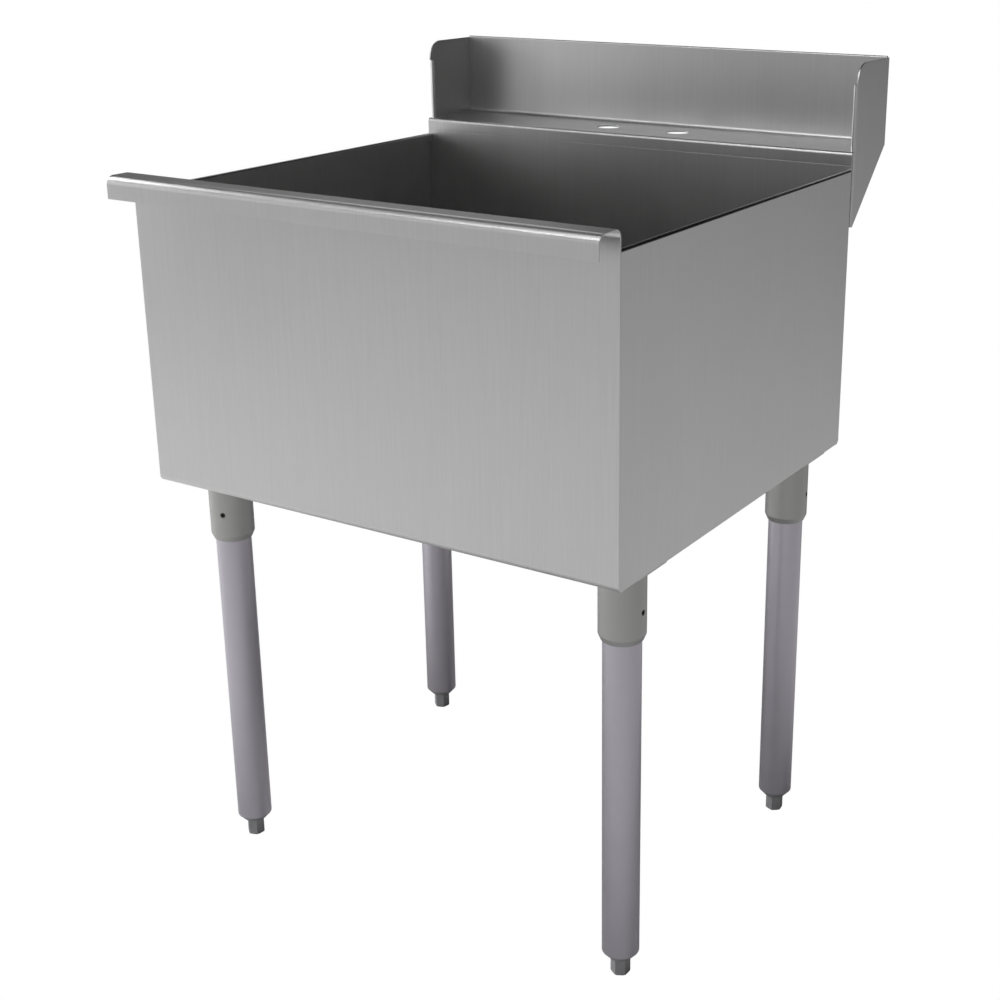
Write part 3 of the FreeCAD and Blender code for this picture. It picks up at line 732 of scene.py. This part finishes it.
dark_screw = clouded("blackened steel", (0.05, 0.05, 0.05), 0.4)
screw_head = socket_face - SCREW_SUNK
screws = bmesh.new()
for corner in CORNERS:
    rings = thread_rings(SCREW_RADIUS, SCREW_PITCH, TUBE_RADIUS, screw_head)
    for depth in (0.0, KEY_DEPTH):
        rings.append(hexagon_ring(KEY_FLATS, lambda face: screw_head - depth, steps=SCREW_STEPS))
    rings.append([(0, 0, screw_head - KEY_DEPTH - KEY_TIP)])
    one = skin_rings(rings)
    one.transform(screw_place(corner) @ screw_axis)
    mesh = bpy.data.meshes.new("one screw")
    one.to_mesh(mesh)
    one.free()
    screws.from_mesh(mesh)
    bpy.data.meshes.remove(mesh)
socket_screws = make_piece("socket_screws", screws, dark_screw, ease=0.00008)
put_on(socket_screws, "sink", "set_screws")

# ---------------------------------------------------------------- the legs
# Galvanised steel tube, cut square, with the end that goes up into the socket and the end that
# takes the plug both deburred.

tube_low, tube_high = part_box("leg_tube_front_left")
galvanised = clouded("galvanised tube", (0.43, 0.41, 0.455), 0.38, cloud=0.08, spread=25.0)
tube_outline = [
    Vector((TUBE_RADIUS, tube_low.z)),
    Vector((TUBE_RADIUS, tube_high.z)),
    Vector((TUBE_RADIUS - TUBE_WALL, tube_high.z)),
    Vector((TUBE_RADIUS - TUBE_WALL, tube_low.z)),
]
for corner in CORNERS:
    tube = make_piece(f"tube_{corner}", turned(tube_outline), galvanised)
    put_on(tube, "sink", f"leg_tube_{corner}", leg_place(corner))

# ---------------------------------------------------------------- the plugs
# A moulded plug is pressed into the foot of each tube.  Its tapered collar shows below the tube,
# and the foot's screw turns in it.

STUD_RADIUS = 0.006
PLUG_FIT = 0.00005
COLLAR_TAPER = 0.00715
COLLAR_EDGE = 0.00012
PLUG_ROUND = 0.001
PLUG_BORE_EDGE = 0.0005
stud_bore = STUD_RADIUS + THREAD_FIT
plug_radius = TUBE_RADIUS - TUBE_WALL - PLUG_FIT
plug_low, plug_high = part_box("leg_plug_front_left")
plug_outline = round_corners([
    (stud_bore, plug_low.z),
    (TUBE_RADIUS - COLLAR_TAPER, plug_low.z, PLUG_ROUND),
    (TUBE_RADIUS, tube_low.z, COLLAR_EDGE),
    (plug_radius, tube_low.z),
    (plug_radius, plug_high.z, PLUG_ROUND),
    (stud_bore, plug_high.z, PLUG_BORE_EDGE),
], steps=4)
plug_grey = clouded("moulded grey plastic", (0.2, 0.2, 0.21), 0.5, cloud=0.03, metallic=0.0)
for corner in CORNERS:
    plug = make_piece(f"end_plug_{corner}", turned(plug_outline), plug_grey)
    put_on(plug, "sink", f"leg_plug_{corner}", leg_place(corner))

# ---------------------------------------------------------------- the feet
# Each foot is a moulded hexagon that a hand or a spanner turns.  Its corners are cut back where
# they stand on the floor, and the rest of that edge is just broken.

FOOT_FLATS = 0.01905
FOOT_EDGE = 0.001
FOOT_BREAK = 0.0002
STUD_SOCKET = 0.008
foot_low, foot_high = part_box("foot_front_left")
foot_dark = clouded("moulded dark plastic", (0.3, 0.3, 0.31), 0.45, cloud=0.04, metallic=0.0)
foot_corner = FOOT_FLATS / 2 / math.cos(math.pi / 6)
foot_floor_radius = foot_corner - FOOT_EDGE
for corner in CORNERS:
    foot_solid = skin_rings([
        round_ring(0.0, foot_low.z),
        hexagon_ring(FOOT_FLATS, lambda face: foot_low.z,
                     lambda face: min(face - FOOT_BREAK, foot_floor_radius)),
        hexagon_ring(FOOT_FLATS, lambda face: foot_low.z + max(FOOT_BREAK, face - foot_floor_radius)),
        hexagon_ring(FOOT_FLATS, lambda face: foot_high.z),
        round_ring(stud_bore, foot_high.z, HEX_STEPS),
        round_ring(stud_bore, foot_high.z - STUD_SOCKET, HEX_STEPS),
        round_ring(0.0, foot_high.z - STUD_SOCKET),
    ])
    hex_foot = make_piece(f"hex_foot_{corner}", foot_solid, foot_dark, ease=0.0002)
    put_on(hex_foot, f"foot_screw_{corner}", f"foot_{corner}", screw_place(corner))

# ---------------------------------------------------------------- the feet's screws
# A zinc-plated threaded rod is fast in each foot and turns up into the plug.  Turning the foot
# moves it down or up, which levels the sink.

STUD_PITCH = 0.00175
stud_low, stud_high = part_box("foot_stud_front_left")
plated = clouded("zinc plated thread", (0.5, 0.5, 0.48), 0.3)
for corner in CORNERS:
    stud = skin_rings(thread_rings(STUD_RADIUS, STUD_PITCH, stud_low.z, stud_high.z))
    threaded_rod = make_piece(f"threaded_rod_{corner}", stud, plated, ease=0.00005)
    put_on(threaded_rod, f"foot_screw_{corner}", f"foot_stud_{corner}", leg_place(corner))

# ---------------------------------------------------------------- the drain
# A spun stainless cup hangs in the floor's dish by its flange.  A rubber gasket, a fibre ring and a
# die-cast locknut clamp it from below, and a chromed coupling nut on its outlet takes the waste pipe.

CUP_RADIUS = 0.041
CUP_WALL = 0.003
CUP_DEPTH = 0.042
CUP_SLOPE = 0.005
FLANGE_THICK = 0.0015
SEAT_RADIUS = 0.024
OUTLET_RADIUS = 0.0175
OUTLET_WALL = 0.0035
FLANGE_LIP_ROUND = 0.0004
CUP_MOUTH_ROUND = 0.0015
CUP_FOOT_ROUND = 0.003
SEAT_ROUND = 0.002
OUTLET_ROUND = 0.001
flange_radius = (drain_high.x - drain_low.x) / 2
dish_top = drain_high.z - FLANGE_THICK
cup_neck = CUP_RADIUS + CUP_WALL
outlet_face = OUTLET_RADIUS + OUTLET_WALL
drain_place = Matrix.Translation((drain_axis.x, drain_axis.y, dish_top))
outlet_low = drain_low.z - dish_top
polished = brushed_steel("polished steel", "z", grey=(0.62, 0.62, 0.62), gloss=0.18)
drain_cup = make_piece("drain_cup", turned(round_corners([
    (flange_radius, 0.0),
    (flange_radius, FLANGE_THICK / 2),
    (flange_radius - FLANGE_THICK, FLANGE_THICK, FLANGE_LIP_ROUND),
    (CUP_RADIUS, FLANGE_THICK, CUP_MOUTH_ROUND),
    (CUP_RADIUS, CUP_SLOPE - CUP_DEPTH, CUP_FOOT_ROUND),
    (SEAT_RADIUS, -CUP_DEPTH, SEAT_ROUND),
    (OUTLET_RADIUS, -CUP_DEPTH, OUTLET_ROUND),
    (OUTLET_RADIUS, outlet_low),
    (outlet_face, outlet_low),
    (outlet_face, -CUP_DEPTH - CUP_WALL),
    (cup_neck, CUP_SLOPE - CUP_DEPTH - CUP_WALL, CUP_FOOT_ROUND),
    (cup_neck, 0.0),
], steps=5)), polished)
put_on(drain_cup, "sink", "drain_body", drain_place)


def washer(name, node, inner, outer, finish, ease):
    """A flat ring in place of a node, about the drain's axis."""
    ring_low, ring_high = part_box(node)
    top, bottom = ring_high.z - dish_top, ring_low.z - dish_top
    ring = make_piece(name, turned([Vector((inner, bottom)), Vector((outer, bottom)),
                                    Vector((outer, top)), Vector((inner, top))]), finish, ease=ease)
    put_on(ring, "sink", node, drain_place)


rubber = clouded("black rubber", (0.03, 0.03, 0.03), 0.7, cloud=0.1, metallic=0.0)
fibre = clouded("pressed fibre", (0.3, 0.2, 0.12), 0.8, cloud=0.15, metallic=0.0)
white_plastic = clouded("white plastic", (0.75, 0.75, 0.72), 0.4, cloud=0.03, metallic=0.0)
washer("rubber_gasket", "drain_gasket", DRAIN_HOLE_RADIUS, flange_radius, rubber, 0.0008)
washer("fibre_ring", "friction_ring", DRAIN_HOLE_RADIUS, flange_radius, fibre, 0.0002)
washer("pipe_washer", "slip_washer", OUTLET_RADIUS, outlet_face, white_plastic, 0.0004)

LUG_COUNT = 6
LUG_WIDTH = 0.012
LUG_REACH = 0.004
NUT_WALL = 0.011
NUT_ARC_STEPS = 10
nut_low, nut_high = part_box("drain_locknut")
nut_radius = cup_neck + NUT_WALL
lug_radius = nut_radius + LUG_REACH
nut_spots = []
for lug in range(LUG_COUNT):
    facing = 2 * math.pi * lug / LUG_COUNT
    foot_turn = math.asin(LUG_WIDTH / 2 / nut_radius)
    tip_turn = math.atan(LUG_WIDTH / 2 / lug_radius)
    tip = lug_radius / math.cos(tip_turn)
    nut_spots += [(facing - foot_turn, nut_radius), (facing - tip_turn, tip), (facing + tip_turn, tip)]
    gap = 2 * math.pi / LUG_COUNT - 2 * foot_turn
    for step in range(NUT_ARC_STEPS):
        nut_spots.append((facing + foot_turn + gap * step / NUT_ARC_STEPS, nut_radius))


def nut_ring(height, inner=None):
    """A ring round the nut's lugs, or round its bore where inner gives the bore's radius."""
    return [((inner or reach) * math.cos(turn), (inner or reach) * math.sin(turn), height)
            for turn, reach in nut_spots]


die_cast = clouded("die-cast zinc", (0.5, 0.5, 0.48), 0.42, cloud=0.08)
nut_bottom, nut_top = nut_low.z - dish_top, nut_high.z - dish_top
lugged_nut = make_piece("lugged_nut", skin_rings([
    nut_ring(nut_bottom, cup_neck + THREAD_FIT),
    nut_ring(nut_bottom),
    nut_ring(nut_top),
    nut_ring(nut_top, cup_neck + THREAD_FIT),
], closed=True), die_cast, ease=0.0008)
put_on(lugged_nut, "sink", "drain_locknut", drain_place)

COUPLING_LIP = 0.003
COUPLING_BORE = 0.01945
COUPLING_CONE = 1.03
COUPLING_RISE = 0.0004
COUPLING_SLOPE = 0.577
coupling_low, coupling_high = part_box("coupling_nut")
coupling_flats = coupling_high.y - coupling_low.y
coupling_round = coupling_flats / 2 * COUPLING_CONE
coupling_bottom, coupling_top = coupling_low.z - dish_top, coupling_high.z - dish_top
coupling_thread = outlet_face + THREAD_FIT


def coupling_cut(face):
    """How far the cone that cuts back the nut's corners goes along its faces, at that reach."""
    return COUPLING_RISE + COUPLING_SLOPE * max(0.0, face - coupling_round)


chrome = clouded("chrome", (0.72, 0.72, 0.73), 0.12, cloud=0.02)
coupling = make_piece("chromed_nut", skin_rings([
    round_ring(COUPLING_BORE, coupling_bottom, HEX_STEPS),
    hexagon_ring(coupling_flats, lambda face: coupling_bottom + coupling_cut(face)),
    hexagon_ring(coupling_flats, lambda face: coupling_top - coupling_cut(face)),
    round_ring(coupling_thread, coupling_top, HEX_STEPS),
    round_ring(coupling_thread, coupling_bottom + COUPLING_LIP, HEX_STEPS),
    round_ring(COUPLING_BORE, coupling_bottom + COUPLING_LIP, HEX_STEPS),
], closed=True), chrome, ease=0.0004)
put_on(coupling, "sink", "coupling_nut", drain_place)

# ---------------------------------------------------------------- the strainer
# The basket that lifts out of the drain: a pressed steel cup with round holes, a rubber stopper
# under it that seals on the drain's seat, and a turned post with a knob to lift it by.

SEAL_THICK = 0.005
BASKET_SHEET = 0.001
BASKET_RIM_RADIUS = 0.0405
BASKET_RIM_DROP = 0.002
BASKET_RIM_WIDTH = 0.0035
BASKET_TAPER = 0.003
BASKET_FOOT_ROUND = 0.0022
BASKET_INNER_ROUND = 0.0012
BASKET_LIP_ROUND = 0.0005
BASKET_MOUTH_ROUND = 0.0015
BASKET_HOLE_RADIUS = 0.0025
HOLE_INSET = 0.005
FLOOR_HOLES = 16
WALL_HOLES = 20
PUNCH_REACH = 0.006
PUNCH_STEPS = 20
STOPPER_INSET = 0.001
STOPPER_FOOT_ROUND = 0.0012
STOPPER_TOP_ROUND = 0.0006
POST_RADIUS = 0.003
POST_COLLAR = 0.005
KNOB_RADIUS = 0.009
KNOB_HEIGHT = 0.008
KNOB_NECK = 0.028
POST_ROUND = 0.0006
KNOB_ROUND = 0.002

basket_floor = SEAL_THICK - CUP_DEPTH
wall_top = BASKET_RIM_RADIUS - BASKET_RIM_WIDTH
wall_foot = wall_top - BASKET_TAPER
post_hole = POST_RADIUS + THREAD_FIT
basket = turned(round_corners([
    (post_hole, basket_floor),
    (wall_foot, basket_floor, BASKET_FOOT_ROUND),
    (wall_top, -BASKET_RIM_DROP - BASKET_SHEET, BASKET_LIP_ROUND),
    (BASKET_RIM_RADIUS, -BASKET_RIM_DROP - BASKET_SHEET),
    (BASKET_RIM_RADIUS, -BASKET_RIM_DROP),
    (wall_top - BASKET_SHEET, -BASKET_RIM_DROP, BASKET_MOUTH_ROUND),
    (wall_foot - BASKET_SHEET, basket_floor + BASKET_SHEET, BASKET_INNER_ROUND),
    (post_hole, basket_floor + BASKET_SHEET),
], steps=5))


def punch(matrix):
    """A round punch, as long as it takes to go through the basket's sheet."""
    bar = skin_rings([round_ring(BASKET_HOLE_RADIUS, -PUNCH_REACH, PUNCH_STEPS),
                      round_ring(BASKET_HOLE_RADIUS, PUNCH_REACH, PUNCH_STEPS)])
    bar.transform(matrix)
    mesh = bpy.data.meshes.new("punch")
    bar.to_mesh(mesh)
    bar.free()
    return mesh


punches = bmesh.new()
marks = []
for hole in range(FLOOR_HOLES):
    turn = Matrix.Rotation(2 * math.pi * hole / FLOOR_HOLES, 4, "Z")
    marks.append(turn @ Matrix.Translation((wall_foot - HOLE_INSET, 0, basket_floor)))
for hole in range(WALL_HOLES):
    turn = Matrix.Rotation(2 * math.pi * hole / WALL_HOLES - math.pi / 2, 4, "Z")
    across = Matrix.Translation(((wall_top + wall_foot) / 2, 0, (basket_floor - BASKET_RIM_DROP) / 2))
    marks.append(turn @ across @ Matrix.Rotation(math.pi / 2, 4, "Y"))
for mark in marks:
    mesh = punch(mark)
    punches.from_mesh(mesh)
    bpy.data.meshes.remove(mesh)
lift_basket = make_piece("lift_basket", cut_away(basket, punches), polished, ease=0.0002)
put_on(lift_basket, "strainer", "strainer_basket", drain_place)

stopper_radius = SEAT_RADIUS - STOPPER_INSET
stopper = make_piece("rubber_stopper", turned(round_corners([
    (post_hole, -CUP_DEPTH),
    (stopper_radius, -CUP_DEPTH, STOPPER_FOOT_ROUND),
    (stopper_radius, basket_floor, STOPPER_TOP_ROUND),
    (post_hole, basket_floor),
], steps=5)), rubber)
put_on(stopper, "strainer", "strainer_seal", drain_place)

collar_foot = basket_floor + BASKET_SHEET
knob_foot = collar_foot + KNOB_NECK
lift_post = make_piece("lift_post", turned(round_corners([
    (0.0, -CUP_DEPTH),
    (POST_RADIUS, -CUP_DEPTH, POST_ROUND),
    (POST_RADIUS, collar_foot),
    (POST_COLLAR, collar_foot, POST_ROUND),
    (POST_RADIUS, knob_foot, KNOB_ROUND),
    (KNOB_RADIUS, knob_foot, KNOB_ROUND),
    (KNOB_RADIUS, knob_foot + KNOB_HEIGHT, KNOB_ROUND),
    (0.0, knob_foot + KNOB_HEIGHT),
], steps=6), steps=48), chrome)
put_on(lift_post, "strainer", "strainer_post", drain_place)

# ---------------------------------------------------------------- in the studio
# The sink stands on a plain pale floor, under soft lights, seen from where the photograph was
# taken: from the right of its front and a little above its rim.

VIEW_TILT = 71.60055
VIEW_ROLL = 0.07047
VIEW_TURN = 31.52759
VIEW_POINT = Vector((1.01578, -1.50084, 1.11617))
SENSOR = 36.0
PHOTO_SIDE = 1000
FOCAL_PIXELS = 1591.28
VIEW_CENTRE = (591.63, 433.2)

scene.view_settings.view_transform = "Standard"

lens = bpy.data.cameras.new("camera")
lens.sensor_width = SENSOR
lens.lens = FOCAL_PIXELS * SENSOR / PHOTO_SIDE
lens.shift_x = 0.5 - VIEW_CENTRE[0] / PHOTO_SIDE
lens.shift_y = VIEW_CENTRE[1] / PHOTO_SIDE - 0.5
lens.clip_end = 100
camera = bpy.data.objects.new("camera", lens)
camera.location = VIEW_POINT
camera.rotation_euler = [math.radians(turn) for turn in (VIEW_TILT, VIEW_ROLL, VIEW_TURN)]
scene.collection.objects.link(camera)
scene.camera = camera

FLOOR_SIDE = 80.0
FLOOR_GREY = 0.6
FLOOR_ROUGHNESS = 0.9
# The floor's glow is painted light that the steel shows again: it is lowered to a painted shadow under
# the sink and to painted shade behind it.
FLOOR_PAINTED_GLOW = 0.47
PAINTED_SHADOW_GLOW = 0.06
PAINTED_SHADE_BEHIND = (0.45, 0.8)
PAINTED_SHADOW_UNDER = (0.25, 0.9)
SKY_GLOW = 0.85
SKY_TOP = (0.375, 0.469)
SKY_WAY = Vector((-0.5, -1, 0))
PAPER_WHITE = (1, 1, 1, 1)


def seen_white(tree, dim, output):
    """Adds plain white for the camera's own view; every other ray sees the dim shader, which is the sky's
    light or the floor's painted glow.
    """
    view = tree.nodes.new("ShaderNodeLightPath")
    for_sky = output.bl_idname == "ShaderNodeOutputWorld"
    white = tree.nodes.new("ShaderNodeBackground" if for_sky else "ShaderNodeEmission")
    white.inputs["Color"].default_value = PAPER_WHITE
    white.inputs["Strength"].default_value = 1.0
    choice = tree.nodes.new("ShaderNodeMixShader")
    join_nodes(tree, view.outputs["Is Camera Ray"], choice.inputs[0])
    join_nodes(tree, dim, choice.inputs[1])
    join_nodes(tree, white.outputs[0], choice.inputs[2])
    join_nodes(tree, choice.outputs[0], output.inputs["Surface"])


def vector_step(tree, operation, source, other=None):
    """The outputs of one step of reckoning with a vector."""
    step = tree.nodes.new("ShaderNodeVectorMath")
    step.operation = operation
    join_nodes(tree, source, step.inputs[0])
    if other:
        step.inputs[1].default_value = other
    return step.outputs


def multiply(tree, first, second):
    product = tree.nodes.new("ShaderNodeMath")
    product.operation = "MULTIPLY"
    join_nodes(tree, first, product.inputs[0])
    join_nodes(tree, second, product.inputs[1])
    return product.outputs["Value"]


floor_paint, floor_tree, paint, spot_on_floor = plain_finish("studio floor", 0.0)
paint.inputs["Base Color"].default_value = (FLOOR_GREY, FLOOR_GREY, FLOOR_GREY, 1)
paint.inputs["Roughness"].default_value = FLOOR_ROUGHNESS
paint.inputs["Emission Color"].default_value = PAPER_WHITE
# Painted light on the floor: the glow is brightest in front of the sink, with painted shade behind the
# sink and a painted shadow under it, while the camera sees plain white.
view_way = Matrix.Rotation(math.radians(VIEW_TURN), 3, "Z") @ Vector((0, 1, 0))
bearing = vector_step(floor_tree, "NORMALIZE", spot_on_floor)["Vector"]
behind_sink = vector_step(floor_tree, "DOT_PRODUCT", bearing, view_way)["Value"]
distance = vector_step(floor_tree, "LENGTH", spot_on_floor)["Value"]
painted_shade_behind = spread_over(floor_tree, behind_sink, PAINTED_SHADE_BEHIND, (1.0, PAINTED_SHADOW_GLOW / FLOOR_PAINTED_GLOW), smooth=True)
painted_shadow_under = spread_over(floor_tree, distance, PAINTED_SHADOW_UNDER, (PAINTED_SHADOW_GLOW, FLOOR_PAINTED_GLOW), smooth=True)
painted_floor_glow = multiply(floor_tree, painted_shade_behind, painted_shadow_under)
join_nodes(floor_tree, painted_floor_glow, paint.inputs["Emission Strength"])
seen_white(floor_tree, paint.outputs[0], floor_tree.nodes["Material Output"])
floor_mesh = bpy.data.meshes.new("studio floor")
reach = FLOOR_SIDE / 2
floor_mesh.from_pydata([(-reach, -reach, 0), (reach, -reach, 0), (reach, reach, 0), (-reach, reach, 0)],
                       [], [(0, 1, 2, 3)])
floor_mesh.materials.append(floor_paint)
studio_floor = bpy.data.objects.new("studio_floor", floor_mesh)
scene.collection.objects.link(studio_floor)

# The sky glows in a low band on one side, like a pale wall that the steel shows again.
sky = bpy.data.worlds.new("studio")
scene.world = sky
sky.use_nodes = True
sky_tree = sky.node_tree
wall_glow = sky_tree.nodes["Background"]
wall_glow.inputs["Color"].default_value = PAPER_WHITE
direction = sky_tree.nodes.new("ShaderNodeTexCoord").outputs["Generated"]
parts = sky_tree.nodes.new("ShaderNodeSeparateXYZ")
join_nodes(sky_tree, direction, parts.inputs[0])
below = spread_over(sky_tree, parts.outputs["Z"], SKY_TOP, (SKY_GLOW, 0.0))
ahead = vector_step(sky_tree, "DOT_PRODUCT", direction, SKY_WAY.normalized())["Value"]
facing = sky_tree.nodes.new("ShaderNodeClamp")
join_nodes(sky_tree, ahead, facing.inputs["Value"])
brightness = multiply(sky_tree, facing.outputs["Result"], below)
join_nodes(sky_tree, brightness, wall_glow.inputs["Strength"])
seen_white(sky_tree, wall_glow.outputs[0], sky_tree.nodes["World Output"])

TUB_MIDDLE = Vector((0, 0, 0.65))


def soft_box(name, place, width, height, power):
    """A soft light of that width and height and power in watts, turned towards the tub."""
    light = bpy.data.lights.new(name, "AREA")
    light.shape = "RECTANGLE"
    light.size = width
    light.size_y = height
    light.energy = power
    lamp = bpy.data.objects.new(name, light)
    lamp.location = place
    lamp.rotation_euler = (TUB_MIDDLE - Vector(place)).to_track_quat("-Z", "Y").to_euler()
    scene.collection.objects.link(lamp)


soft_box("left light", (-2.8, -0.3, 2.0), 1.4, 1.4, 56)
soft_box("low left light", (-2.6, -1.0, 1.0), 1.0, 1.4, 14)
soft_box("light over the front", (-0.2, -1.3, 3.0), 1.4, 1.2, 22)
soft_box("back left light", (-1.8, 1.8, 2.6), 1.4, 1.4, 6)
soft_box("right light", (2.8, -0.3, 2.0), 1.4, 1.4, 3.6)
soft_box("small key light", (-1.3, -2.1, 2.7), 0.5, 0.5, 6)
